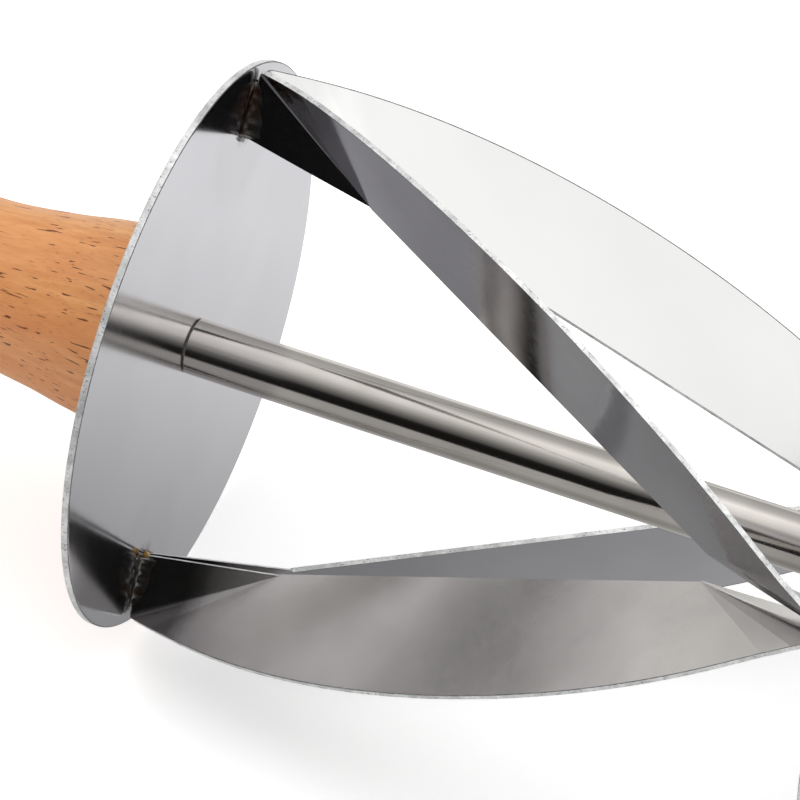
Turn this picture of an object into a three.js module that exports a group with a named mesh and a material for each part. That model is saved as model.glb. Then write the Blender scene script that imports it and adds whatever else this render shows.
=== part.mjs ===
// Rolling croissant cutter: a drum of four slanted sheet-steel blades between
// two round end discs, spinning on a steel rod held between two turned handles.
//
// Units are millimetres, +Z is up. The axle lies along X and the origin is the
// middle of the drum on the axle. Angles around the axle are counted from +Z
// towards -Y.
import * as THREE from 'three';

// ---- driving dimensions ----
const DISC_RADIUS = 46;
const DISC_THICKNESS = 1.2;
const DRUM_LENGTH = 117.6; // between the inner faces of the discs
const DRUM_PHASE = -36.7; // angle of the left disc's first blade vertex, degrees

const BLADE_RADIUS = 45.1; // radius that the cutting edges lie on
const BLADE_THICKNESS = 0.8;
const BLADE_INNER_HEIGHT = 23; // height of the straight inner edge over the axle
const BLADE_END_RADIUS = 34.5; // inner corner of a blade end, from the axle
const BLADE_BEND_PLACE = 0.6; // inner bend point, as a share of half the drum length
const BLADE_END_SWEEP = 2; // how far the curved stretch leans out of the flat face
const BLADE_SIDE_OFFSET = 0.8; // middle of the sheet from the vertex's radial plane
const BLADE_CORNER_GAP = 0.5; // outer corner to the disc
const BLADE_HEEL_GAP = 0.3; // inner corner to the disc
const BLADE_COUNT = 4;

const TUBE_RADIUS = 4.5;
const TUBE_BORE_RADIUS = 3.75;
const TUBE_END_GAP = 0.2;

const ROD_RADIUS = 2.5;
const ROD_END_RADIUS = 2;
const ROD_END_RECESS = 0.7; // rod end below the handle's end face
const RUNNING_CLEARANCE = 0.06;
const FIT_GAP = 0.1; // between pieces that are fastened to each other

const BUSH_FLANGE_RADIUS = 7.5;
const BUSH_FLANGE_THICKNESS = 1.2;
const BUSH_LENGTH_IN_TUBE = 9;
const END_PLAY = 0.5; // each side, between drum and handle

const SHOULDER_WASHER_RADIUS = 8;
const SHOULDER_WASHER_THICKNESS = 1.2;

const HALF_LENGTH = 170; // axle centre to the handle's end face
const HANDLE_RECESS_RADIUS = 8.5;
const HANDLE_COUNTERBORE_RADIUS = 6.5;
const HANDLE_COUNTERBORE_DEPTH = 5.5;

const END_WASHER_RADIUS = 6;
const END_WASHER_THICKNESS = 1;
const NUT_ACROSS_FLATS = 7;
const NUT_THICKNESS = 3.2;

const WELD_RADIUS = 0.9; // of the room that a bead has; its lumps stay inside it
const WELD_GAP = 0.35; // from that room to the blade and to the disc
const WELD_START_INSET = 0.6; // from the blade's inner corner
const WELD_END_INSET = 2.4; // from its outer corner, which stays free of the disc
const WELD_MEAN_SHARE = 0.85; // the bead's mean radius, as a share of its room
const WELD_LUMPS = 4;
const WELD_LUMP_DEPTH = 0.14; // as a share of the mean radius
const WELD_TIP = 0.1; // length of the pointed tip at each end

// ---- places along the axle, from the middle outwards ----
const DISC_INNER = DRUM_LENGTH / 2;
const DISC_OUTER = DISC_INNER + DISC_THICKNESS;
const BUSH_END = DISC_OUTER + FIT_GAP + BUSH_FLANGE_THICKNESS;
const SHOULDER_WASHER_START = BUSH_END + END_PLAY;
const ROD_SHOULDER = SHOULDER_WASHER_START - FIT_GAP;
const HANDLE_START = DISC_OUTER + END_PLAY;
const HANDLE_RECESS_FLOOR = SHOULDER_WASHER_START + SHOULDER_WASHER_THICKNESS + FIT_GAP;
const HANDLE_LENGTH = HALF_LENGTH - HANDLE_START;
const COUNTERBORE_FLOOR = HALF_LENGTH - HANDLE_COUNTERBORE_DEPTH;
const END_WASHER_START = COUNTERBORE_FLOOR + FIT_GAP;
const NUT_START = END_WASHER_START + END_WASHER_THICKNESS + FIT_GAP;

// ---- facets round each turned piece ----
const DISC_SIDES = 96;
const TURNED_SIDES = 48;
const SMALL_SIDES = 32;
const WELD_SIDES = 10;

const SIDES = [
  { name: 'left', sign: -1 },
  { name: 'right', sign: 1 },
];

// ---- finishes ----
const steel = (roughness) => new THREE.MeshStandardMaterial({ color: 0xb9bbbd, metalness: 1, roughness });
const beech = () => new THREE.MeshStandardMaterial({ color: 0xd9a066, metalness: 0, roughness: 0.55 });
const nylon = () => new THREE.MeshStandardMaterial({ color: 0xe9e6dc, metalness: 0, roughness: 0.5 });

// ---- shape helpers ----

// A turned solid about X. The profile lists [distance along X, radius] pairs;
// it starts and ends on the axis, or is closed on itself.
function turned(profile, sides) {
  const points = profile.map(([along, radius]) => new THREE.Vector2(radius, along));
  const geometry = new THREE.LatheGeometry(points, sides);
  geometry.rotateZ(-Math.PI / 2);
  return geometry;
}

// A ring about X with a rectangular section.
function ring(start, end, innerRadius, outerRadius, sides) {
  const low = Math.min(start, end);
  const high = Math.max(start, end);
  return turned([
    [low, innerRadius],
    [low, outerRadius],
    [high, outerRadius],
    [high, innerRadius],
    [low, innerRadius],
  ], sides);
}

// The same profile at the other end of the axle, still listed from low to high X.
function placed(profile, sign) {
  if (sign > 0) return profile;
  return profile.map(([along, radius]) => [-along, radius]).reverse();
}

function namedMesh(name, geometry, material) {
  const mesh = new THREE.Mesh(geometry, material);
  mesh.name = name;
  return mesh;
}

// ---- blades ----

const ARC_STEPS = 28; // steps along a blade's cutting edge
const FAN_STEPS = 3; // of those, the ones in the bend at each end
const MITRE_LIMIT = 1.15; // how far a corner may stand out, as a multiple of half the thickness

// Middle of the sheet at one end of a blade: the corner at the given radius,
// on a line parallel to the vertex's radial plane. Local frame: x along the
// axle, s sideways, b up along the blade's middle radius.
function endCorner(end, radius, gap) {
  const along = Math.sqrt(radius * radius - BLADE_SIDE_OFFSET * BLADE_SIDE_OFFSET);
  const diagonal = Math.SQRT1_2;
  const sideways = (along - BLADE_SIDE_OFFSET) * diagonal;
  const up = (along + BLADE_SIDE_OFFSET) * diagonal;
  return { x: end * (DISC_INNER - gap), s: end * sideways, b: up };
}

// Points of the sheet's middle surface: the cutting edge on the drum's
// cylinder, and the inner edge, straight between its two bend points.
function bladeOutline() {
  const corner = endCorner(1, BLADE_RADIUS, BLADE_CORNER_GAP);
  const endAngle = Math.atan2(corner.s, corner.b);
  const slope = corner.s / (corner.x - BLADE_END_SWEEP);
  const fanAngle = endAngle * (1 - (2 * FAN_STEPS) / ARC_STEPS);
  const outer = [];
  for (let i = 0; i <= ARC_STEPS; i += 1) {
    const angle = endAngle * ((2 * i) / ARC_STEPS - 1);
    const s = BLADE_RADIUS * Math.sin(angle);
    const lean = Math.max(0, (Math.abs(angle) - fanAngle) / (endAngle - fanAngle));
    const sweep = Math.sign(angle) * BLADE_END_SWEEP * lean * lean;
    outer.push({ x: s / slope + sweep, s, b: BLADE_RADIUS * Math.cos(angle) });
  }
  const bendX = BLADE_BEND_PLACE * DISC_INNER;
  const innerSteps = ARC_STEPS - 2 * FAN_STEPS;
  const inner = [];
  for (let i = 0; i <= innerSteps; i += 1) {
    const x = bendX * ((2 * i) / innerSteps - 1);
    inner.push({ x, s: x * slope, b: BLADE_INNER_HEIGHT });
  }
  const heels = [-1, 1].map((end) => endCorner(end, BLADE_END_RADIUS, BLADE_HEEL_GAP));
  return { outer, inner, heels };
}

// Triangles of the middle surface, by index into outer, inner and heels.
function bladeTriangles(outerCount, innerCount) {
  const inner = (i) => outerCount + i;
  const leftHeel = outerCount + innerCount;
  const rightHeel = leftHeel + 1;
  const last = outerCount - 1;
  const triangles = [[0, leftHeel, inner(0)]];
  for (let i = 0; i < FAN_STEPS; i += 1) triangles.push([i, inner(0), i + 1]);
  for (let i = 0; i < innerCount - 1; i += 1) {
    const edge = FAN_STEPS + i;
    triangles.push([edge, inner(i), edge + 1]);
    triangles.push([edge + 1, inner(i), inner(i + 1)]);
  }
  for (let i = last - FAN_STEPS; i < last; i += 1) triangles.push([i, inner(innerCount - 1), i + 1]);
  triangles.push([last, inner(innerCount - 1), rightHeel]);
  return triangles;
}

// Thickens a surface of triangles into a closed sheet: each point moves half
// the thickness both ways, square to the faces that meet in it.
function thickened(points, triangles, thickness) {
  const sums = points.map(() => new THREE.Vector3());
  const counts = points.map(() => 0);
  for (const [a, b, c] of triangles) {
    const normal = new THREE.Vector3()
      .subVectors(points[b], points[a])
      .cross(new THREE.Vector3().subVectors(points[c], points[a]))
      .normalize();
    for (const corner of [a, b, c]) {
      sums[corner].add(normal);
      counts[corner] += 1;
    }
  }
  const half = thickness / 2;
  const positions = [];
  for (const side of [1, -1]) {
    points.forEach((point, i) => {
      const mean = sums[i].clone().divideScalar(counts[i]);
      const offset = mean.clone().multiplyScalar((side * half) / mean.lengthSq());
      offset.clampLength(0, half * MITRE_LIMIT);
      positions.push(...point.clone().add(offset).toArray());
    });
  }
  const under = points.length;
  const index = [];
  const edges = new Map();
  for (const [a, b, c] of triangles) {
    index.push(a, b, c, under + a, under + c, under + b);
    for (const [from, to] of [[a, b], [b, c], [c, a]]) edges.set(`${from},${to}`, [from, to]);
  }
  for (const [from, to] of edges.values()) {
    if (edges.has(`${to},${from}`)) continue;
    index.push(from, under + from, to, to, under + from, under + to);
  }
  const geometry = new THREE.BufferGeometry();
  geometry.setAttribute('position', new THREE.Float32BufferAttribute(positions, 3));
  geometry.setIndex(index);
  return geometry;
}

// One blade with its middle radius along +Z. A left-hand blade is the mirror
// image of a right-hand one.
function bladeGeometry(hand) {
  const { outer, inner, heels } = bladeOutline();
  const points = [...outer, ...inner, ...heels].map(({ x, s, b }) => new THREE.Vector3(x, -hand * s, b));
  const triangles = bladeTriangles(outer.length, inner.length);
  const facing = triangles.map(([a, b, c]) => (hand > 0 ? [a, b, c] : [a, c, b]));
  return thickened(points, facing, BLADE_THICKNESS);
}

// ---- weld beads ----

// A lumpy bead in the corner between a blade's end and the disc, drawn about
// +Z as the vertex's radius; side is the side of the vertex that it lies on.
function weldGeometry(end, side) {
  const start = BLADE_END_RADIUS + WELD_START_INSET;
  const finish = BLADE_RADIUS - WELD_END_INSET;
  const body = finish - start - 2 * WELD_TIP;
  const stations = 12;
  const roundness = 0.4; // how blunt the bead's ends are; 1 is a plain half wave
  const profile = [[start, 0]];
  for (let i = 0; i <= stations; i += 1) {
    const share = i / stations;
    const swell = Math.sin(Math.PI * THREE.MathUtils.lerp(0.08, 0.92, share)) ** roundness;
    const ripple = 1 - WELD_LUMP_DEPTH * Math.cos(2 * Math.PI * WELD_LUMPS * share);
    profile.push([start + WELD_TIP + body * share, WELD_MEAN_SHARE * WELD_RADIUS * swell * ripple]);
  }
  profile.push([finish, 0]);
  const geometry = turned(profile, WELD_SIDES);
  geometry.rotateY(-Math.PI / 2);
  const offset = BLADE_SIDE_OFFSET + BLADE_THICKNESS / 2 + WELD_GAP + WELD_RADIUS;
  const along = end * (DISC_INNER - WELD_GAP - WELD_RADIUS);
  geometry.translate(along, -side * offset, 0);
  return geometry;
}

// ---- axle ----

function rodGeometry() {
  const end = HALF_LENGTH - ROD_END_RECESS;
  const chamfer = 0.5;
  const half = [
    [ROD_SHOULDER, ROD_RADIUS],
    [ROD_SHOULDER, ROD_END_RADIUS],
    [end - chamfer, ROD_END_RADIUS],
    [end, ROD_END_RADIUS - chamfer],
    [end, 0],
  ];
  return turned([...placed(half, -1), ...half], TURNED_SIDES);
}

function bushGeometry(sign) {
  const bore = ROD_RADIUS + RUNNING_CLEARANCE;
  const body = TUBE_BORE_RADIUS - FIT_GAP / 2;
  const flangeFace = DISC_OUTER + FIT_GAP;
  const start = DISC_INNER - BUSH_LENGTH_IN_TUBE;
  return turned(placed([
    [start, bore],
    [start, body],
    [flangeFace, body],
    [flangeFace, BUSH_FLANGE_RADIUS],
    [BUSH_END, BUSH_FLANGE_RADIUS],
    [BUSH_END, bore],
    [start, bore],
  ], sign), TURNED_SIDES);
}

function discGeometry(sign) {
  const rimBreak = 0.15;
  const hole = TUBE_BORE_RADIUS + FIT_GAP / 2;
  return turned(placed([
    [DISC_INNER, hole],
    [DISC_INNER, DISC_RADIUS - rimBreak],
    [DISC_INNER + rimBreak, DISC_RADIUS],
    [DISC_OUTER - rimBreak, DISC_RADIUS],
    [DISC_OUTER, DISC_RADIUS - rimBreak],
    [DISC_OUTER, hole],
    [DISC_INNER, hole],
  ], sign), DISC_SIDES);
}

// ---- handles ----

const HANDLE_EDGE_ROUND = 0.8; // at the disc end

// Turned outline: a flared end against the disc, a narrow neck, a swelling for
// the palm and a rounded end. Each pair is [distance from the disc end, radius].
const HANDLE_OUTLINE = [
  [HANDLE_EDGE_ROUND, 16.6],
  [8, 16.3],
  [15, 15.4],
  [23, 14],
  [35, 12.8],
  [50, 13.9],
  [68, 15.9],
  [82, 16.5],
  [95, 15.6],
  [104, 13.2],
  [108, 11],
];
const HANDLE_END_RADIUS = 9.6;
const HANDLE_OUTLINE_STEPS = 26;

function handleGeometry(sign) {
  const curve = new THREE.SplineCurve(HANDLE_OUTLINE.map(([u, r]) => new THREE.Vector2(u, r)));
  const surface = curve.getPoints(HANDLE_OUTLINE_STEPS).map(({ x, y }) => [HANDLE_START + x, y]);
  const bore = ROD_END_RADIUS + FIT_GAP;
  return turned(placed([
    [HANDLE_RECESS_FLOOR, bore],
    [HANDLE_RECESS_FLOOR, HANDLE_RECESS_RADIUS],
    [HANDLE_START, HANDLE_RECESS_RADIUS],
    [HANDLE_START, HANDLE_OUTLINE[0][1] - HANDLE_EDGE_ROUND],
    ...surface,
    [HALF_LENGTH, HANDLE_END_RADIUS],
    [HALF_LENGTH, HANDLE_COUNTERBORE_RADIUS],
    [COUNTERBORE_FLOOR, HANDLE_COUNTERBORE_RADIUS],
    [COUNTERBORE_FLOOR, bore],
    [HANDLE_RECESS_FLOOR, bore],
  ], sign), TURNED_SIDES);
}

// ---- fasteners ----

function hexNutGeometry(sign) {
  const outline = new THREE.Shape();
  const cornerRadius = NUT_ACROSS_FLATS / Math.sqrt(3);
  for (let i = 0; i < 6; i += 1) {
    const angle = (i * Math.PI) / 3;
    const place = [cornerRadius * Math.cos(angle), cornerRadius * Math.sin(angle)];
    if (i === 0) outline.moveTo(...place);
    else outline.lineTo(...place);
  }
  outline.closePath();
  const hole = new THREE.Path();
  hole.absarc(0, 0, ROD_END_RADIUS + FIT_GAP, 0, 2 * Math.PI, true);
  outline.holes.push(hole);
  const geometry = new THREE.ExtrudeGeometry(outline, {
    depth: NUT_THICKNESS,
    bevelEnabled: false,
    curveSegments: SMALL_SIDES,
  });
  geometry.rotateY(Math.PI / 2);
  geometry.translate(sign > 0 ? NUT_START : -NUT_START - NUT_THICKNESS, 0, 0);
  return geometry;
}

// ---- assembly ----

function buildDrum() {
  const drum = new THREE.Group();
  for (const { name, sign } of SIDES) {
    drum.add(namedMesh(`disc_${name}`, discGeometry(sign), steel(0.22)));
    drum.add(namedMesh(`bush_${name}`, bushGeometry(sign), nylon()));
  }
  const tubeEnd = DISC_INNER - TUBE_END_GAP;
  const tube = ring(-tubeEnd, tubeEnd, TUBE_BORE_RADIUS, TUBE_RADIUS, TURNED_SIDES);
  drum.add(namedMesh('centre_tube', tube, steel(0.3)));

  for (let i = 0; i < BLADE_COUNT; i += 1) {
    const hand = i % 2 === 0 ? 1 : -1;
    const middle = DRUM_PHASE + 45 + 90 * i;
    const blade = namedMesh(`blade_${i + 1}`, bladeGeometry(hand), steel(0.28));
    blade.rotation.x = THREE.MathUtils.degToRad(middle);
    drum.add(blade);
    for (const { name, sign } of SIDES) {
      const towardsMiddle = -sign * hand;
      const weld = namedMesh(`weld_${i + 1}_${name}`, weldGeometry(sign, towardsMiddle), steel(0.5));
      weld.rotation.x = THREE.MathUtils.degToRad(middle + 45 * sign * hand);
      drum.add(weld);
    }
  }
  return drum;
}

function buildAxle() {
  const axle = new THREE.Group();
  axle.add(namedMesh('axle_rod', rodGeometry(), steel(0.35)));
  const washerBore = ROD_END_RADIUS + FIT_GAP;
  for (const { name, sign } of SIDES) {
    const shoulderWasher = ring(
      sign * SHOULDER_WASHER_START,
      sign * (SHOULDER_WASHER_START + SHOULDER_WASHER_THICKNESS),
      washerBore,
      SHOULDER_WASHER_RADIUS,
      SMALL_SIDES,
    );
    const endWasher = ring(
      sign * END_WASHER_START,
      sign * (END_WASHER_START + END_WASHER_THICKNESS),
      washerBore,
      END_WASHER_RADIUS,
      SMALL_SIDES,
    );
    axle.add(namedMesh(`shoulder_washer_${name}`, shoulderWasher, steel(0.4)));
    axle.add(namedMesh(`handle_${name}`, handleGeometry(sign), beech()));
    axle.add(namedMesh(`end_washer_${name}`, endWasher, steel(0.4)));
    axle.add(namedMesh(`end_nut_${name}`, hexNutGeometry(sign), steel(0.35)));
  }
  return axle;
}

const cutter = new THREE.Group();
cutter.add(buildDrum());
cutter.add(buildAxle());

export default cutter;
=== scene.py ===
"""Rolling croissant cutter: the looks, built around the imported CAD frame.

Metres, in the CAD frame: X along the axle, +Z up, the origin at the middle of
the drum. Angles round the axle are counted from +Z towards -Y.
"""
import math
import random

import bmesh
import bpy
from mathutils import Matrix, Vector


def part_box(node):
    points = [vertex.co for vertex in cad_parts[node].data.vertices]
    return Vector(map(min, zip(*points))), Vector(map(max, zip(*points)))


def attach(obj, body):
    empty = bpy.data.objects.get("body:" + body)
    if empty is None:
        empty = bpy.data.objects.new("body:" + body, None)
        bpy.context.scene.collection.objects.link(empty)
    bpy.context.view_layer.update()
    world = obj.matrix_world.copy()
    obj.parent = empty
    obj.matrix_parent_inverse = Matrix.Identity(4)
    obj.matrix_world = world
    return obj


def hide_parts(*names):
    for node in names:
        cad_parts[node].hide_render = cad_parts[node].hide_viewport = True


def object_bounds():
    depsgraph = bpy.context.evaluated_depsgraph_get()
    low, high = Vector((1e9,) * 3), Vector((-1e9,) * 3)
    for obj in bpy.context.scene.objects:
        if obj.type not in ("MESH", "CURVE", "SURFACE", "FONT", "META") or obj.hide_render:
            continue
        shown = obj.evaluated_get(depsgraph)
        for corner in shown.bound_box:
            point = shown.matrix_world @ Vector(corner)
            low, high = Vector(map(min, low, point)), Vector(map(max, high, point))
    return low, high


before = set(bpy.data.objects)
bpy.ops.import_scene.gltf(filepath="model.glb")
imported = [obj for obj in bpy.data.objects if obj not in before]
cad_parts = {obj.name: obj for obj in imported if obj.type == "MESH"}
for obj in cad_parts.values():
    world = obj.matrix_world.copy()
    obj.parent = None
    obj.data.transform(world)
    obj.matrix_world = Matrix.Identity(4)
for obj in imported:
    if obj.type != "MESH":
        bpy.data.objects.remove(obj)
CAD_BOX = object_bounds()

MM = 0.001
SIDES = {"left": -1, "right": 1}
random.seed(7)

# ---- sizes read from the frame ----
_disc_low, _disc_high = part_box("disc_right")
DISC_INNER = _disc_low.x
DISC_OUTER = _disc_high.x
DISC_RADIUS = min(_disc_high.y, _disc_high.z)
_tube_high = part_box("centre_tube")[1]
TUBE_END = _tube_high.x
TUBE_RADIUS = min(_tube_high.y, _tube_high.z)
_handle_low, _handle_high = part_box("handle_right")
HANDLE_START = _handle_low.x
HANDLE_END = _handle_high.x
ROD_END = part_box("axle_rod")[1].x
FLOOR_Z = CAD_BOX[0].z

# ---- sizes that the boxes don't give, as in the CAD source ----
DRUM_PHASE = math.radians(-36.7)
BLADE_RADIUS = 45.1 * MM
BLADE_THICKNESS = 0.8 * MM
BLADE_INNER_HEIGHT = 23 * MM
BLADE_END_RADIUS = 34.5 * MM
BLADE_BEND_PLACE = 0.6
BLADE_END_SWEEP = 2 * MM
BLADE_ARC_STEPS = 28  # steps of the angle along the whole cutting edge
BLADE_FAN_STRIPS = 3  # of those, the flat strips in the bend at each end
BLADE_SIDE_OFFSET = 0.8 * MM
BLADE_CORNER_GAP = 0.5 * MM
BLADE_HEEL_GAP = 0.3 * MM
BLADE_COUNT = 4
BLADE_EDGE_BREAK = 0.15 * MM
BURR_WIDTH = 0.2 * MM  # how far the burr runs in from the cut edge
BOW_DEPTH = 0.10 * MM  # how far the sheet bows out of its rulings
BOW_WAVES = 75  # radians of that bow for each metre along the axle
MERGE_DISTANCE = 0.01 * MM
TUBE_BORE_RADIUS = 3.75 * MM
FIT_GAP = 0.1 * MM
RUNNING_CLEARANCE = 0.06 * MM
ROD_RADIUS = 2.5 * MM
ROD_END_RADIUS = 2 * MM
FASTENER_BORE = ROD_END_RADIUS + FIT_GAP
THREAD_PITCH = 0.7 * MM
THREAD_DEPTH = 0.4 * MM
THREAD_LENGTH = 9 * MM
HANDLE_RECESS_RADIUS = 8.5 * MM
HANDLE_COUNTERBORE_RADIUS = 6.5 * MM
NUT_HALF_FLATS = 3.5 * MM

# ---- the welds, which fill the corner between a blade's end and the disc ----
WELD_START = 34.3 * MM  # from the axle
WELD_END = 43.2 * MM
WELD_LEG_ON_BLADE = 2.6 * MM
WELD_LEG_ON_DISC = 1.5 * MM
WELD_LEAN = 0.07  # how the blade leans over the corner
WELD_DEPTH = 0.25 * MM  # how far a weld reaches into the sheets
WELD_LIP = 0.13 * MM  # how thick its thin edge is
HEAT_AND_SHADE_PLACES = 9  # places along each weld that the heat tint and the painted shade are measured from
HEAT_TINT_REACH = 2.2 * MM
# how far the painted shade round the left welds reaches
PAINTED_SHADE_REACH = 13 * MM


# ---- mesh helpers ----

def new_piece(name, bm, body, surfaces, replaced, sharp_degrees=35):
    """Turns a bmesh into a piece of the object, with its body and materials, and hides the CAD nodes it
    replaces.
    """
    mesh = bpy.data.meshes.new(name)
    bmesh.ops.recalc_face_normals(bm, faces=bm.faces)
    bm.to_mesh(mesh)
    bm.free()
    mesh.shade_smooth()
    mesh.set_sharp_from_angle(angle=math.radians(sharp_degrees))
    piece = bpy.data.objects.new(name, mesh)
    bpy.context.scene.collection.objects.link(piece)
    for surface in surfaces:
        piece.data.materials.append(surface)
    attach(piece, body)
    if replaced:
        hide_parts(*replaced)
    return piece


def rounded(points, radius, steps=4):
    """A closed outline with its corners rounded."""
    result = []
    count = len(points)
    for i, corner in enumerate(points):
        corner = Vector(corner)
        before = Vector(points[i - 1]) - corner
        after = Vector(points[(i + 1) % count]) - corner
        reach = min(radius, before.length * 0.45, after.length * 0.45)
        start = corner + before.normalized() * reach
        end = corner + after.normalized() * reach
        for k in range(steps + 1):
            t = k / steps
            result.append((1 - t) ** 2 * start + 2 * t * (1 - t) * corner + t * t * end)
    return result


def turned(outline, sides, closed=True, radius_at=None):
    """A turned solid about X from (x, radius) points; radius_at may reshape each point's radius."""
    bm = bmesh.new()
    rings = []
    for x, radius in outline:
        if radius < 1e-9:
            rings.append([bm.verts.new((x, 0, 0))])
            continue
        ring = []
        for i in range(sides):
            angle = 2 * math.pi * i / sides
            r = radius_at(x, radius, angle) if radius_at else radius
            ring.append(bm.verts.new((x, -r * math.sin(angle), r * math.cos(angle))))
        rings.append(ring)
    pairs = list(zip(rings, rings[1:]))
    if closed:
        pairs.append((rings[-1], rings[0]))
    for first, second in pairs:
        for i in range(sides):
            j = (i + 1) % sides
            corners = [first[i % len(first)], first[j % len(first)]]
            corners += [second[j % len(second)], second[i % len(second)]]
            corners = list(dict.fromkeys(corners))
            if len(corners) > 2:
                bm.faces.new(corners)
    return bm


def mirrored(outline, sign):
    return [(sign * x, r) for x, r in outline]


# ---- materials ----

def new_material(name, colour, metallic, roughness):
    """A material, its node tree and its shader."""
    material = bpy.data.materials.new(name)
    material.use_nodes = True
    tree = material.node_tree
    shader = tree.nodes["Principled BSDF"]
    shader.inputs["Base Color"].default_value = (*colour, 1)
    shader.inputs["Metallic"].default_value = metallic
    shader.inputs["Roughness"].default_value = roughness
    return material, tree, shader


def add(tree, kind, **settings):
    """A node; settings name its properties, or its input sockets when there is such a socket."""
    node = tree.nodes.new(kind)
    for key, value in settings.items():
        socket = key.replace("_", " ").title()
        if socket in node.inputs:
            node.inputs[socket].default_value = value
        else:
            setattr(node, key, value)
    return node


def object_coordinates(tree, stretch=(1, 1, 1)):
    """The object's own coordinates in metres, scaled by stretch."""
    coordinates = add(tree, "ShaderNodeTexCoord")
    mapping = add(tree, "ShaderNodeMapping")
    mapping.inputs["Scale"].default_value = stretch
    tree.links.new(coordinates.outputs["Object"], mapping.inputs["Vector"])
    return mapping.outputs["Vector"]


def noise(tree, vector, scale, detail=4, roughness=0.5, distortion=0):
    node = add(tree, "ShaderNodeTexNoise", scale=scale, detail=detail, roughness=roughness,
               distortion=distortion)
    tree.links.new(vector, node.inputs["Vector"])
    return node.outputs["Fac"]


def ramp(tree, value, stops):
    """A colour ramp; stops are (position, grey or colour)."""
    node = add(tree, "ShaderNodeValToRGB")
    elements = node.color_ramp.elements
    while len(elements) < len(stops):
        elements.new(0.5)
    for element, (position, colour) in zip(elements, stops):
        element.position = position
        element.color = (*colour, 1) if isinstance(colour, tuple) else (colour, colour, colour, 1)
    tree.links.new(value, node.inputs["Fac"])
    return node.outputs["Color"]


def graded(tree, value, low, high, stops):
    """A colour ramp whose stops are given in the value's own units, between low and high."""
    node = add(tree, "ShaderNodeMapRange")
    node.inputs["From Min"].default_value = low
    node.inputs["From Max"].default_value = high
    tree.links.new(value, node.inputs["Value"])
    return ramp(tree, node.outputs["Result"], [((at - low) / (high - low), colour) for at, colour in stops])


def mix(tree, factor, first, second, blend="MIX"):
    """Mixes two colours; each is a socket or a colour, and factor is a socket or a number."""
    node = add(tree, "ShaderNodeMix", data_type="RGBA", blend_type=blend)
    for name, value in (("Factor", factor), ("A", first), ("B", second)):
        socket = next(s for s in node.inputs if s.name == name and (name == "Factor" or s.type == "RGBA"))
        if hasattr(value, "links"):
            tree.links.new(value, socket)
        elif isinstance(value, tuple):
            socket.default_value = (*value, 1)
        else:
            socket.default_value = value
    return next(s for s in node.outputs if s.type == "RGBA")


def bump(tree, shader, height, strength, distance):
    node = add(tree, "ShaderNodeBump")
    node.inputs["Strength"].default_value = strength
    node.inputs["Distance"].default_value = distance
    tree.links.new(height, node.inputs["Height"])
    tree.links.new(node.outputs["Normal"], shader.inputs["Normal"])


def steel_material(name, light, dark, smooth, rough, streak, cloud_size=18 * MM, relief=0.03, tint=0.0,
                   painted_shade=0.0, dull=0.0):
    """Stainless steel, with its grain stretched by streak.

    tint is how brown it is beside the welds, and the argument after it how much darker it is painted round
    the
    left ones: painted shade for the dark reflection near a blade's end. dull is how much of its shine the
    flat middle of a blade has lost.
    """
    material, tree, shader = new_material(name, light, 1, smooth)
    grain = noise(tree, object_coordinates(tree, streak), 1, detail=5, roughness=0.65)
    cloud = noise(tree, object_coordinates(tree), 1 / cloud_size, detail=3)
    colour = mix(tree, ramp(tree, cloud, [(0.35, 0.0), (0.65, 1.0)]), dark, light)
    if tint:
        heat_and_shade = add(tree, "ShaderNodeAttribute", attribute_name="weld_heat_and_shade")
        reach = add(tree, "ShaderNodeSeparateXYZ")
        tree.links.new(heat_and_shade.outputs["Vector"], reach.inputs[0])
        # painted shade: near-black mixed in near the left welds, for the dark reflection near a blade's end
        far = ramp(tree, reach.outputs["Y"], [(0.0, 0.0), (0.33, painted_shade)])
        colour = mix(tree, far, colour, (0.035, 0.033, 0.031))
        close = ramp(tree, reach.outputs["X"], [(0.0, 0.0), (1.0, tint)])
        colour = mix(tree, close, colour, (0.10, 0.055, 0.028))
    tree.links.new(colour, shader.inputs["Base Color"])
    spread = ramp(tree, grain, [(0.3, smooth), (0.7, rough)])
    tree.links.new(spread, shader.inputs["Roughness"])
    if dull:
        axes = add(tree, "ShaderNodeSeparateXYZ")
        tree.links.new(object_coordinates(tree), axes.inputs[0])
        along = add(tree, "ShaderNodeMath", operation="ABSOLUTE")
        tree.links.new(axes.outputs["X"], along.inputs[0])
        shine = graded(tree, along.outputs["Value"], 0.030, 0.060, [(0.036, 1 - dull), (0.048, 1.0)])
        tree.links.new(shine, shader.inputs["Metallic"])
    bump(tree, shader, grain, relief, 0.00004)
    return material


def sheared_material():
    """The cut edge of the sheet: grey torn metal, mottled and pitted."""
    material, tree, shader = new_material("sheared_edge", (0.70, 0.70, 0.69), 0.5, 0.42)
    grain = noise(tree, object_coordinates(tree), 2600, detail=3, roughness=0.7)
    patches = noise(tree, object_coordinates(tree), 300, detail=4, roughness=0.7)
    patch_mask = ramp(tree, patches, [(0.38, 0.0), (0.62, 1.0)])
    metal = mix(tree, patch_mask, (0.58, 0.59, 0.59), (0.94, 0.94, 0.93))
    pits = ramp(tree, grain, [(0.32, 1.0), (0.42, 0.0)])
    tree.links.new(mix(tree, pits, metal, (0.12, 0.12, 0.115)), shader.inputs["Base Color"])
    bump(tree, shader, grain, 0.5, 0.00006)
    return material


def burr_material():
    """The dull dark lip that shearing turns up along a cut edge."""
    material, tree, shader = new_material("sheared_burr", (0.13, 0.13, 0.13), 0, 0.6)
    shader.inputs["Specular IOR Level"].default_value = 0.1
    grain = noise(tree, object_coordinates(tree), 1500, detail=3, roughness=0.7)
    metal = mix(tree, ramp(tree, grain, [(0.35, 0.0), (0.6, 1.0)]), (0.06, 0.06, 0.06), (0.22, 0.22, 0.22))
    tree.links.new(metal, shader.inputs["Base Color"])
    bump(tree, shader, grain, 0.3, 0.00004)
    return material


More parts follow.
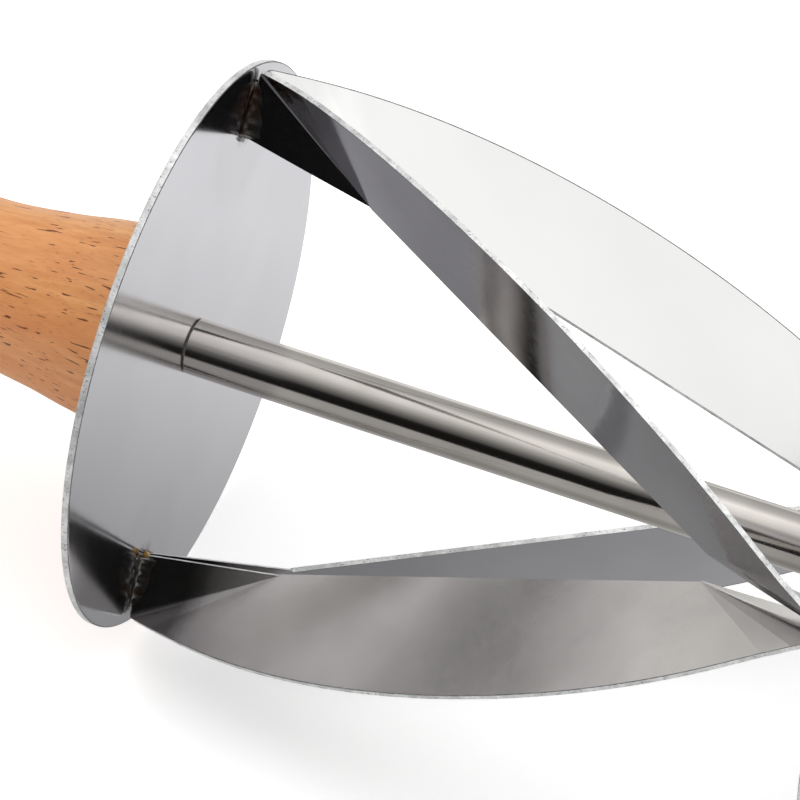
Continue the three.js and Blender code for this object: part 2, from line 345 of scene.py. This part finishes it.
def weld_material():
    """Grey weld metal under thin brown and black scale."""
    material, tree, shader = new_material("weld_metal", (0.40, 0.38, 0.36), 1, 0.3)
    scale = noise(tree, object_coordinates(tree, (300, 300, 300)), 1, detail=4, roughness=0.6)
    ripple = noise(tree, object_coordinates(tree), 1400, detail=3)
    scale_mask = ramp(tree, scale, [(0.42, 0.0), (0.66, 1.0)])
    metal = mix(tree, scale_mask, (0.30, 0.285, 0.27), (0.09, 0.048, 0.026))
    tree.links.new(metal, shader.inputs["Base Color"])
    tree.links.new(ramp(tree, scale, [(0.4, 0.20), (0.7, 0.42)]), shader.inputs["Roughness"])
    bump(tree, shader, ripple, 0.25, 0.00005)
    return material


def beech_material():
    """Sanded beech: long soft grain, and slim dark flecks that run along the handle."""
    material, tree, shader = new_material("beech", (0.74, 0.40, 0.18), 0, 0.45)
    shader.inputs["Coat Weight"].default_value = 0.12
    shader.inputs["Coat Roughness"].default_value = 0.35
    along_grain = object_coordinates(tree, (30, 620, 620))
    grain = noise(tree, along_grain, 1, detail=6, roughness=0.65, distortion=0.3)
    bands = noise(tree, object_coordinates(tree, (9, 70, 70)), 1, detail=2)
    grain_mask = ramp(tree, grain, [(0.3, 0.0), (0.7, 1.0)])
    wood = mix(tree, grain_mask, (0.62, 0.247, 0.080), (0.80, 0.405, 0.158))
    wood = mix(tree, ramp(tree, bands, [(0.35, 0.0), (0.65, 0.6)]), wood, (0.62, 0.20, 0.058))
    fine = noise(tree, object_coordinates(tree, (260, 4600, 4600)), 1, detail=0)
    wood = mix(tree, ramp(tree, fine, [(0.66, 0.0), (0.76, 0.35)]), wood, (0.42, 0.15, 0.055))
    flecks = noise(tree, object_coordinates(tree, (52, 2700, 2700)), 1, detail=0)
    fleck_mask = ramp(tree, flecks, [(0.715, 0.0), (0.765, 1.0)])
    wood = mix(tree, fleck_mask, wood, (0.17, 0.045, 0.013))
    tree.links.new(wood, shader.inputs["Base Color"])
    bump(tree, shader, mix(tree, fleck_mask, grain, (0.0, 0.0, 0.0)), 0.25, 0.00012)
    return material


def nylon_material():
    material, tree, shader = new_material("natural_nylon", (0.80, 0.77, 0.68), 0, 0.45)
    cloud = noise(tree, object_coordinates(tree), 700, detail=3)
    tree.links.new(mix(tree, cloud, (0.74, 0.70, 0.60), (0.84, 0.81, 0.73)), shader.inputs["Base Color"])
    bump(tree, shader, cloud, 0.1, 0.00003)
    return material


# ---- drum ----

FACE_SURFACE = 0  # the places of the face, the sheared edge and the burr in a sheet's materials
EDGE_SURFACE = 1
BURR_SURFACE = 2


def blade_angles():
    """For each blade: its index, its middle angle and its hand, 1 or -1."""
    quarter = math.pi / 2
    for i in range(BLADE_COUNT):
        yield i, DRUM_PHASE + quarter / 2 + quarter * i, 1 if i % 2 == 0 else -1


def end_corner(end, radius, gap):
    """Middle of the sheet at a blade's end, as (x, sideways, up)."""
    along = math.sqrt(radius ** 2 - BLADE_SIDE_OFFSET ** 2)
    sideways = (along - BLADE_SIDE_OFFSET) * math.sqrt(0.5)
    up = (along + BLADE_SIDE_OFFSET) * math.sqrt(0.5)
    return Vector((end * (DISC_INNER - gap), end * sideways, up))


def blade_rulings():
    """Straight lines across the blade, from its inner edge to its outer boundary."""
    corner = end_corner(1, BLADE_RADIUS, BLADE_CORNER_GAP)
    heel = end_corner(1, BLADE_END_RADIUS, BLADE_HEEL_GAP)
    end_angle = math.atan2(corner.y, corner.z)
    slope = corner.y / (corner.x - BLADE_END_SWEEP)
    fan_angle = end_angle * (1 - 2 * BLADE_FAN_STRIPS / BLADE_ARC_STEPS)
    bend_x = BLADE_BEND_PLACE * DISC_INNER
    bend_point = Vector((bend_x, bend_x * slope, BLADE_INNER_HEIGHT))

    def edge(angle):
        sideways = BLADE_RADIUS * math.sin(angle)
        into_fan = max(0, (angle - fan_angle) / (end_angle - fan_angle)) * BLADE_FAN_STRIPS
        strip = min(int(into_fan), BLADE_FAN_STRIPS - 1)
        lean = (strip ** 2 + (into_fan - strip) * (2 * strip + 1)) / BLADE_FAN_STRIPS ** 2
        return Vector((sideways / slope + BLADE_END_SWEEP * lean, sideways, BLADE_RADIUS * math.cos(angle)))

    half = []
    plate_steps, fan_steps, end_steps = 42, 15, 14
    for i in range(plate_steps):
        t = i / plate_steps
        half.append((Vector((bend_x * t, bend_x * t * slope, BLADE_INNER_HEIGHT)), edge(fan_angle * t)))
    boundary = [edge(fan_angle + (end_angle - fan_angle) * i / fan_steps) for i in range(fan_steps)]
    reach = 0.14  # share of the end edge that the rounding of the corner takes
    corner_steps = 5
    near, far = boundary[-1], corner.lerp(heel, reach)
    for i in range(1, corner_steps):
        t = i / corner_steps
        boundary.append((1 - t) ** 2 * near + 2 * t * (1 - t) * corner + t * t * far)
    boundary += [corner.lerp(heel, reach + (1 - reach) * i / end_steps) for i in range(end_steps + 1)]
    half += [(bend_point, point) for point in boundary]
    turn = Vector((-1, -1, 1))
    other = [(a * turn, b * turn) for a, b in reversed(half[1:])]
    return other + half


def blade_mesh(hand):
    """A closed sheet on the rulings, slightly bowed, with its cut walls and burr in their own materials."""
    rulings = blade_rulings()
    rows = 26
    bm = bmesh.new()
    grid_sides = []
    phase = random.uniform(0, 6)
    for side in (1, -1):
        grid = []
        for j, (inner, outer) in enumerate(rulings):
            before = rulings[max(0, j - 1)][1]
            after = rulings[min(len(rulings) - 1, j + 1)][1]
            normal = (after - before).cross(outer - inner).normalized()
            burr_share = 1 - BURR_WIDTH / (outer - inner).length
            column = []
            for share in [k / rows for k in range(rows)] + [burr_share, 1]:
                point = inner.lerp(outer, share)
                bow = BOW_DEPTH * math.sin(point.x * BOW_WAVES + phase) * math.sin(math.pi * share)
                point = point + normal * (side * BLADE_THICKNESS / 2 + bow)
                column.append(bm.verts.new((point.x, -hand * point.y, point.z)))
            grid.append(column)
        grid_sides.append(grid)
        for j in range(len(grid) - 1):
            for k in range(rows + 1):
                face = bm.faces.new((grid[j][k], grid[j + 1][k], grid[j + 1][k + 1], grid[j][k + 1]))
                face.material_index = BURR_SURFACE if k == rows else FACE_SURFACE
    top, under = grid_sides
    last = len(top) - 1
    cut = rows + 1
    loop = [(0, k) for k in range(cut)] + [(j, cut) for j in range(last)]
    loop += [(last, k) for k in range(cut, 0, -1)] + [(j, 0) for j in range(last, 0, -1)]
    for (j, k), (m, n) in zip(loop, loop[1:] + loop[:1]):
        wall = bm.faces.new((top[j][k], top[m][n], under[m][n], under[j][k]))
        wall.material_index = EDGE_SURFACE
    bmesh.ops.remove_doubles(bm, verts=bm.verts, dist=MERGE_DISTANCE)
    return bm


def paint_heat_and_shade(piece, places):
    """Stores how hot the metal ran: red close to any weld, for the tint, and green round the left ones, for
    painted shade.
    """
    left_places = [place for place in places if place.x < 0]
    layer = piece.data.color_attributes.new("weld_heat_and_shade", "FLOAT_COLOR", "POINT")
    for vertex, entry in zip(piece.data.vertices, layer.data):
        distance = min((vertex.co - place).length for place in places)
        close = max(0, 1 - distance / HEAT_TINT_REACH) ** 1.5
        # green: nearness to the left welds, for the painted shade there
        far = max(0, 1 - min((vertex.co - place).length for place in left_places) / PAINTED_SHADE_REACH)
        entry.color = (close, far, 0, 1)


def at_vertex(end, hand, middle):
    """Turns the frame of a blade's vertex, with its radius along +Z, to its place round the axle."""
    return Matrix.Rotation(middle + math.pi / 4 * end * hand, 3, "X")


def weld_place(end, hand, middle, radius, from_disc=0.0, from_sheet=0.0):
    """A point beside the corner between a blade's outer side and the disc."""
    offset = BLADE_SIDE_OFFSET + BLADE_THICKNESS / 2 + from_sheet + from_disc * WELD_LEAN
    point = Vector((end * (DISC_INNER - from_disc), end * hand * offset, radius))
    return at_vertex(end, hand, middle) @ point


def heat_and_shade_places():
    """Places along every weld."""
    places = []
    for _, middle, hand in blade_angles():
        for end in SIDES.values():
            for i in range(HEAT_AND_SHADE_PLACES):
                radius = WELD_START + (WELD_END - WELD_START) * i / (HEAT_AND_SHADE_PLACES - 1)
                places.append(weld_place(end, hand, middle, radius))
    return places


def build_drum(materials):
    """Everything that turns: blades, welds, discs, bushes and the centre tube."""
    heat_and_shade = heat_and_shade_places()
    for index, middle, hand in blade_angles():
        bm = blade_mesh(hand)
        bmesh.ops.rotate(bm, verts=bm.verts, cent=(0, 0, 0), matrix=Matrix.Rotation(middle, 3, "X"))
        name = f"blade_{index + 1}"
        surfaces = [materials[name], materials["edge"], materials["burr"]]
        blade = new_piece(f"{name}_sheet", bm, "drum", surfaces, [name], sharp_degrees=2.5)
        bevel = blade.modifiers.new("edge_break", "BEVEL")
        bevel.width = BLADE_EDGE_BREAK
        bevel.segments = 2
        bevel.material = BURR_SURFACE
        bevel.limit_method = "ANGLE"
        bevel.angle_limit = math.radians(60)
        # the heat tint, and the painted shade round the left welds
        paint_heat_and_shade(blade, heat_and_shade)
        for side, end in SIDES.items():
            build_weld(f"weld_{index + 1}_{side}", end, hand, middle, materials["weld"])
    build_spatter("weld_2_left_drop", 1, materials["solder"], 0.5 * MM, 34.1 * MM, 0.95 * MM)
    build_spatter("weld_1_left_burr", 0, materials["edge"], 0.45 * MM, 34.0 * MM, 0.22 * MM)
    for side, sign in SIDES.items():
        build_disc(f"disc_{side}", sign, [materials["disc"], materials["edge"], materials["burr"]], heat_and_shade)
        build_bush(f"bush_{side}", sign, materials["nylon"])
    edge_round = 0.12 * MM
    outline = rounded([(-TUBE_END, TUBE_BORE_RADIUS), (-TUBE_END, TUBE_RADIUS), (TUBE_END, TUBE_RADIUS),
                       (TUBE_END, TUBE_BORE_RADIUS)], edge_round)
    new_piece("tube_wall", turned(outline, 128), "drum", [materials["tube"]], ["centre_tube"])


def build_weld(name, end, hand, middle, material):
    """A hollow fillet with a wavy edge, wide at the blade's inner corner and thin at its outer one."""
    stations, steps = 72, 14
    phase = random.uniform(0, 6)
    bm = bmesh.new()
    rings = []
    for i in range(stations + 1):
        u = i / stations
        taper = (1 - u ** 2) ** 0.6 * min(1, (u + 0.01) / 0.08) ** 0.5
        wave = 1 + 0.08 * math.sin(7 * u + phase) + 0.04 * math.sin(19 * u + 2 * phase)
        blade_leg = max(WELD_LIP, WELD_LEG_ON_BLADE * taper * wave)
        disc_leg = max(WELD_LIP, WELD_LEG_ON_DISC * taper * (2 - wave))
        section = [(-WELD_DEPTH, -WELD_DEPTH), (blade_leg + WELD_LIP, -WELD_DEPTH)]
        for k in range(steps + 1):
            t = k / steps
            raised = WELD_LIP + 0.03 * MM * math.sin(9 * u * math.pi) * math.sin(math.pi * t)
            section.append((blade_leg * (1 - t) ** 2 + raised, disc_leg * t ** 2 + raised))
        section.append((-WELD_DEPTH, disc_leg + WELD_LIP))
        radius = WELD_START + (WELD_END - WELD_START) * u
        rings.append([bm.verts.new(weld_place(end, hand, middle, radius, a, b)) for a, b in section])
    for first, second in zip(rings, rings[1:]):
        for k in range(len(first)):
            n = (k + 1) % len(first)
            bm.faces.new((first[k], first[n], second[n], second[k]))
    bm.faces.new(rings[0])
    bm.faces.new(reversed(rings[-1]))
    new_piece(f"{name}_bead", bm, "drum", [material], [name], sharp_degrees=50)


def build_spatter(name, blade_index, material, size, radius, from_disc):
    """A frozen drop of metal at the heel of a blade's left end."""
    _, middle, hand = list(blade_angles())[blade_index]
    place = weld_place(-1, hand, middle, radius, from_disc, size / 2)
    bm = bmesh.new()
    bmesh.ops.create_icosphere(bm, subdivisions=4, radius=size)
    for vertex in bm.verts:
        direction = vertex.co.normalized()
        lump = 0.16 * math.sin(3 * direction.x + 5 * direction.y + 1) + 0.10 * math.sin(7 * direction.z + 2)
        vertex.co = place + vertex.co * (1 + lump)
    new_piece(name, bm, "drum", [material], [], sharp_degrees=80)


def build_disc(name, sign, surfaces, heat_and_shade):
    hole = TUBE_BORE_RADIUS + FIT_GAP / 2
    edge_break = 0.18 * MM
    corners = rounded([(DISC_INNER, hole), (DISC_INNER, DISC_RADIUS), (DISC_OUTER, DISC_RADIUS),
                       (DISC_OUTER, hole)], edge_break)
    ring_count = 60
    flat = []  # points across the inner face, so that the heat tint and the painted shade can be painted on it
    for i in range(ring_count + 1):
        share = 0.01 + 0.98 * i / ring_count
        flat.append((DISC_INNER, hole + (DISC_RADIUS - hole) * share))
    first_corner = 5  # points in the rounding at the hole
    outline = corners[:first_corner] + flat + corners[first_corner:]
    bm = turned(mirrored([tuple(p) for p in outline], sign), 256)
    for face in bm.faces:
        middle = face.calc_center_median()
        if math.hypot(middle.y, middle.z) > DISC_RADIUS - edge_break:
            on_inner_lip = abs(middle.x) < DISC_INNER + edge_break / 2
            face.material_index = BURR_SURFACE if on_inner_lip else EDGE_SURFACE
    disc = new_piece(f"{name}_plate", bm, "drum", surfaces, [name])
    # the heat tint, and the painted shade round the left welds
    paint_heat_and_shade(disc, heat_and_shade)


def build_bush(name, sign, material):
    low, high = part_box(name)
    start, end = sorted((abs(low.x), abs(high.x)))
    flange = min(high.y, high.z)
    bore = ROD_RADIUS + RUNNING_CLEARANCE
    body = TUBE_BORE_RADIUS - FIT_GAP / 2
    flange_face = DISC_OUTER + FIT_GAP
    edge_round = 0.15 * MM
    outline = rounded([(start, bore), (start, body), (flange_face, body), (flange_face, flange),
                       (end, flange), (end, bore)], edge_round)
    bm = turned(mirrored(outline, sign), 96)
    new_piece(f"{name}_moulding", bm, "drum", [material], [name])


# ---- axle, handles and fasteners ----

# the turned outline, as in the CAD source: (distance from the disc end, radius) in mm
HANDLE_OUTLINE = [(0.8, 16.6), (8, 16.3), (15, 15.4), (23, 14), (35, 12.8), (50, 13.9), (68, 15.9),
                  (82, 16.5), (95, 15.6), (104, 13.2), (108, 11)]


def spline(points, steps):
    """A smooth curve through the points."""
    result = []
    for i in range(len(points) - 1):
        before = Vector(points[max(0, i - 1)])
        start, end = Vector(points[i]), Vector(points[i + 1])
        after = Vector(points[min(len(points) - 1, i + 2)])
        for k in range(steps):
            t = k / steps
            pull = (end - before) * 0.5, (after - start) * 0.5
            result.append(
                start * (2 * t ** 3 - 3 * t ** 2 + 1) + end * (3 * t ** 2 - 2 * t ** 3)
                + pull[0] * (t ** 3 - 2 * t ** 2 + t) + pull[1] * (t ** 3 - t ** 2)
            )
    result.append(Vector(points[-1]))
    return result


def build_handle(side, sign, material):
    name = f"handle_{side}"
    curve = [(HANDLE_START + p.x * MM, p.y * MM) for p in spline(HANDLE_OUTLINE, 10)]
    recess_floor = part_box("shoulder_washer_right")[1].x + FIT_GAP
    washer_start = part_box("end_washer_right")[0].x
    counterbore_floor = washer_start - FIT_GAP
    rim = 0.4 * MM
    recess, counterbore = HANDLE_RECESS_RADIUS, HANDLE_COUNTERBORE_RADIUS
    outline = [(recess_floor, FASTENER_BORE), (recess_floor, recess), (HANDLE_START + rim, recess),
               (HANDLE_START, recess + rim), (HANDLE_START, curve[0][1] - 2 * rim), *curve,
               (HANDLE_END - 0.5 * MM, 10.2 * MM), (HANDLE_END, 9.4 * MM),
               (HANDLE_END, counterbore + rim), (HANDLE_END - rim, counterbore),
               (counterbore_floor, counterbore), (counterbore_floor, FASTENER_BORE)]
    bm = turned(mirrored(outline, sign), 160)
    new_piece(f"{name}_wood", bm, "root", [material], [name])


def build_rod(material):
    """The rod, with a real helical thread on both ends."""
    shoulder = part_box("shoulder_washer_right")[0].x - FIT_GAP
    chamfer = 0.5 * MM
    shoulder_chamfer = 0.2 * MM
    thread_start = ROD_END - chamfer - THREAD_LENGTH
    steps = int(THREAD_LENGTH / THREAD_PITCH * 10)
    thread = [(thread_start + THREAD_LENGTH * i / steps, ROD_END_RADIUS) for i in range(steps + 1)]
    half = [(shoulder - shoulder_chamfer, ROD_RADIUS), (shoulder, ROD_RADIUS - shoulder_chamfer),
            (shoulder, ROD_END_RADIUS), *thread, (ROD_END, ROD_END_RADIUS - chamfer), (ROD_END, 0)]
    outline = mirrored(reversed(half), -1) + half

    def threaded(x, r, angle):
        into = abs(x) - thread_start
        if into <= 0 or abs(x) > ROD_END - chamfer / 2:
            return r
        turn = abs(x) / THREAD_PITCH - angle / (2 * math.pi) * math.copysign(1, x)
        depth = abs(turn % 1 - 0.5) * 2
        return r - THREAD_DEPTH * depth * min(1, into / MM)

    bm = turned(outline, 64, closed=False, radius_at=threaded)
    new_piece("rod_bar", bm, "root", [material], ["axle_rod"])


def build_washer(name, sign, material):
    low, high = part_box(name)
    start, end = sorted((abs(low.x), abs(high.x)))
    outer = min(high.y, high.z)
    edge_round = 0.2 * MM
    corners = [(start, FASTENER_BORE), (start, outer), (end, outer), (end, FASTENER_BORE)]
    outline = rounded(corners, edge_round)
    bm = turned(mirrored(outline, sign), 96)
    new_piece(f"{name}_ring", bm, "root", [material], [name])


def build_nut(name, sign, material):
    """A hex nut with chamfered corners and a countersunk hole."""
    low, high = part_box(name)
    start, end = sorted((abs(low.x), abs(high.x)))
    sink = 0.3 * MM  # countersink of the hole
    chamfer = 0.35 * MM  # of the corners
    corner = NUT_HALF_FLATS * 1.16

    def hex_radius(x, radius, angle):
        if radius < NUT_HALF_FLATS - sink:
            return radius
        sector = (angle + math.pi / 2) % (math.pi / 3) - math.pi / 6
        return min(radius, NUT_HALF_FLATS / math.cos(sector))

    outline = [(start, FASTENER_BORE + sink), (start, NUT_HALF_FLATS), (start + chamfer, corner),
               (end - chamfer, corner), (end, NUT_HALF_FLATS), (end, FASTENER_BORE + sink),
               (end - sink, FASTENER_BORE), (start + sink, FASTENER_BORE)]
    bm = turned(mirrored(outline, sign), 96, radius_at=hex_radius)
    new_piece(f"{name}_hex", bm, "root", [material], [name], sharp_degrees=25)


def build_axle(materials):
    """Everything that stays still in the hands: rod, handles, washers and nuts."""
    build_rod(materials["rod"])
    for side, sign in SIDES.items():
        build_handle(side, sign, materials["beech"])
        build_washer(f"shoulder_washer_{side}", sign, materials["fastener"])
        build_washer(f"end_washer_{side}", sign, materials["fastener"])
        build_nut(f"end_nut_{side}", sign, materials["fastener"])


# ---- camera, floor and light ----

CAMERA_AZIMUTH = math.radians(23.14)
CAMERA_ELEVATION = math.radians(49.38)
CAMERA_DISTANCE = 1.01016
CAMERA_LENS = 292.8
AIM_RIGHT = 0.03202  # from the left disc's centre, across the view
AIM_UP = -0.00844


def build_camera():
    azimuth, elevation = CAMERA_AZIMUTH, CAMERA_ELEVATION
    back = Vector((math.sin(azimuth) * math.cos(elevation), -math.cos(azimuth) * math.cos(elevation),
                   math.sin(elevation)))
    right = Vector((math.cos(azimuth), math.sin(azimuth), 0))
    up = back.cross(right)
    aim = Vector((-DISC_INNER, 0, 0)) + right * AIM_RIGHT + up * AIM_UP
    data = bpy.data.cameras.new("camera")
    data.lens = CAMERA_LENS
    data.sensor_width = 36
    data.clip_end = 50
    camera = bpy.data.objects.new("camera", data)
    camera.location = aim + back * CAMERA_DISTANCE
    camera.rotation_euler = Matrix((right, up, back)).transposed().to_euler()
    bpy.context.scene.collection.objects.link(camera)
    bpy.context.scene.camera = camera


def build_floor():
    """A pale light table. The metal doesn't mirror it, but the graded card above it."""
    bm = bmesh.new()
    bmesh.ops.create_grid(bm, x_segments=1, y_segments=1, size=8)
    mesh = bpy.data.meshes.new("floor")
    bm.to_mesh(mesh)
    bm.free()
    floor = bpy.data.objects.new("floor", mesh)
    floor.location.z = FLOOR_Z - 0.1 * MM
    floor.visible_glossy = False
    bpy.context.scene.collection.objects.link(floor)
    material, _, shader = new_material("floor_pale", (0.90, 0.90, 0.90), 0, 0.8)
    shader.inputs["Emission Color"].default_value = (1, 1, 1, 1)
    shader.inputs["Emission Strength"].default_value = 0.45
    mesh.materials.append(material)


def build_card():
    """A graded card on the table, seen only in reflections: grey in front of the object, pale behind it."""
    bm = bmesh.new()
    bmesh.ops.create_grid(bm, x_segments=1, y_segments=1, size=2)
    mesh = bpy.data.meshes.new("mirror_card")
    bm.to_mesh(mesh)
    bm.free()
    card = bpy.data.objects.new("mirror_card", mesh)
    card.location.z = FLOOR_Z - 0.05 * MM
    card.visible_camera = False
    card.visible_diffuse = False
    card.visible_shadow = False
    bpy.context.scene.collection.objects.link(card)
    material, tree, shader = new_material("card_graded", (0, 0, 0), 0, 1)
    axes = add(tree, "ShaderNodeSeparateXYZ")
    tree.links.new(object_coordinates(tree), axes.inputs[0])
    shade = graded(tree, axes.outputs["Y"], -0.1, 0.3,
                   [(-0.075, 0.45), (-0.03, 0.30), (-0.012, 0.38), (0, 0.45), (0.013, 0.54),
                    (0.03, 0.68), (0.065, 0.86), (0.2, 0.90)])
    tree.links.new(shade, shader.inputs["Emission Color"])
    shader.inputs["Emission Strength"].default_value = 1
    shader.inputs["Specular IOR Level"].default_value = 0
    mesh.materials.append(material)


def build_light():
    """A white studio that is bright behind and above the object, and dark in front of it."""
    world = bpy.data.worlds.new("studio")
    bpy.context.scene.world = world
    world.use_nodes = True
    tree = world.node_tree
    background = tree.nodes["Background"]
    coordinates = add(tree, "ShaderNodeTexCoord")
    direction = coordinates.outputs["Generated"]
    axes = add(tree, "ShaderNodeSeparateXYZ")
    tree.links.new(direction, axes.inputs[0])
    room = graded(tree, axes.outputs["Y"], -1, 1,
                  [(-1, 0.010), (-0.75, 0.012), (-0.4, 0.10), (-0.1, 0.30), (0.1, 0.42), (0.4, 0.62),
                   (0.7, 0.40), (0.95, 0.50)])
    towards_box = add(tree, "ShaderNodeVectorMath", operation="DOT_PRODUCT")
    towards_box.inputs[1].default_value = Vector((0.15, 0.10, 0.98)).normalized()
    tree.links.new(direction, towards_box.inputs[0])
    box = ramp(tree, towards_box.outputs["Value"],
               [(0.36, 0.0), (0.50, 0.10), (0.66, 0.20), (0.76, 0.36), (0.84, 0.42), (0.92, 0.66)])
    light = mix(tree, 1.0, room, box, "ADD")
    path = add(tree, "ShaderNodeLightPath")
    seen = mix(tree, path.outputs["Is Camera Ray"], light, (1.0, 1.0, 1.0))
    tree.links.new(seen, background.inputs["Color"])
    for name, place, size, power in (
        ("top_softbox", (0.1, 0.3, 1.6), 1.8, 16),
        ("front_fill", (-0.6, -1.4, 1.0), 1.4, 7),
    ):
        data = bpy.data.lights.new(name, "AREA")
        data.shape = "SQUARE"
        data.size = size
        data.energy = power
        lamp = bpy.data.objects.new(name, data)
        lamp.visible_glossy = False
        lamp.location = place
        lamp.rotation_euler = (-Vector(place)).to_track_quat("-Z", "Y").to_euler()
        bpy.context.scene.collection.objects.link(lamp)
    bpy.context.scene.view_settings.view_transform = "Standard"


BRUSHED_ALONG = (15, 2500, 2500)
ROLLED = (900, 900, 900)
ZINC_GRAIN = (800, 800, 800)
materials = {
    # round its left welds the disc is painted a little darker too: painted shade
    "disc": steel_material(
        "disc_steel", (0.715, 0.71, 0.745), (0.69, 0.685, 0.72), 0.12, 0.17, ROLLED, tint=0.6, painted_shade=0.05),
    # The blades are one steel, and their tones are painted light and shade: blade_1 and blade_3 are painted
    # darker, blade_2 and blade_4 lighter. Each is also painted darker round its left welds, blade_2 most.
    "blade_1": steel_material(
        "blade_steel_mirror_painted_shade", (0.43, 0.42, 0.435), (0.37, 0.36, 0.375), 0.07, 0.12, ROLLED,
        tint=0.6, painted_shade=0.2),
    "blade_2": steel_material(
        "blade_steel_satin_painted_light", (0.84, 0.81, 0.775), (0.74, 0.71, 0.68), 0.17, 0.21, ROLLED,
        cloud_size=12 * MM, tint=0.6, painted_shade=0.7, dull=0.2),
    "blade_3": steel_material(
        "blade_steel_grey_painted_shade", (0.52, 0.51, 0.53), (0.47, 0.46, 0.48), 0.14, 0.18, ROLLED,
        tint=0.6, painted_shade=0.2),
    "blade_4": steel_material(
        "blade_steel_bright_painted_light", (0.90, 0.90, 0.885), (0.88, 0.88, 0.865), 0.14, 0.18, ROLLED,
        tint=0.6, painted_shade=0.14),
    "edge": sheared_material(),
    "burr": burr_material(),
    "tube": steel_material(
        "tube_steel", (0.71, 0.675, 0.63), (0.60, 0.565, 0.52), 0.08, 0.18, BRUSHED_ALONG, relief=0.18),
    "weld": weld_material(),
    "solder": steel_material(
        "solder", (0.75, 0.52, 0.22), (0.50, 0.30, 0.10), 0.28, 0.45, ROLLED,
        cloud_size=0.6 * MM, relief=0.2),
    "rod": steel_material("rod_steel", (0.66, 0.66, 0.66), (0.58, 0.58, 0.58), 0.22, 0.35, BRUSHED_ALONG),
    "fastener": steel_material("zinc_plate", (0.70, 0.71, 0.73), (0.60, 0.61, 0.64), 0.25, 0.42, ZINC_GRAIN),
    "beech": beech_material(),
    "nylon": nylon_material(),
}

build_camera()
build_floor()
build_card()
build_light()
build_drum(materials)
build_axle(materials)
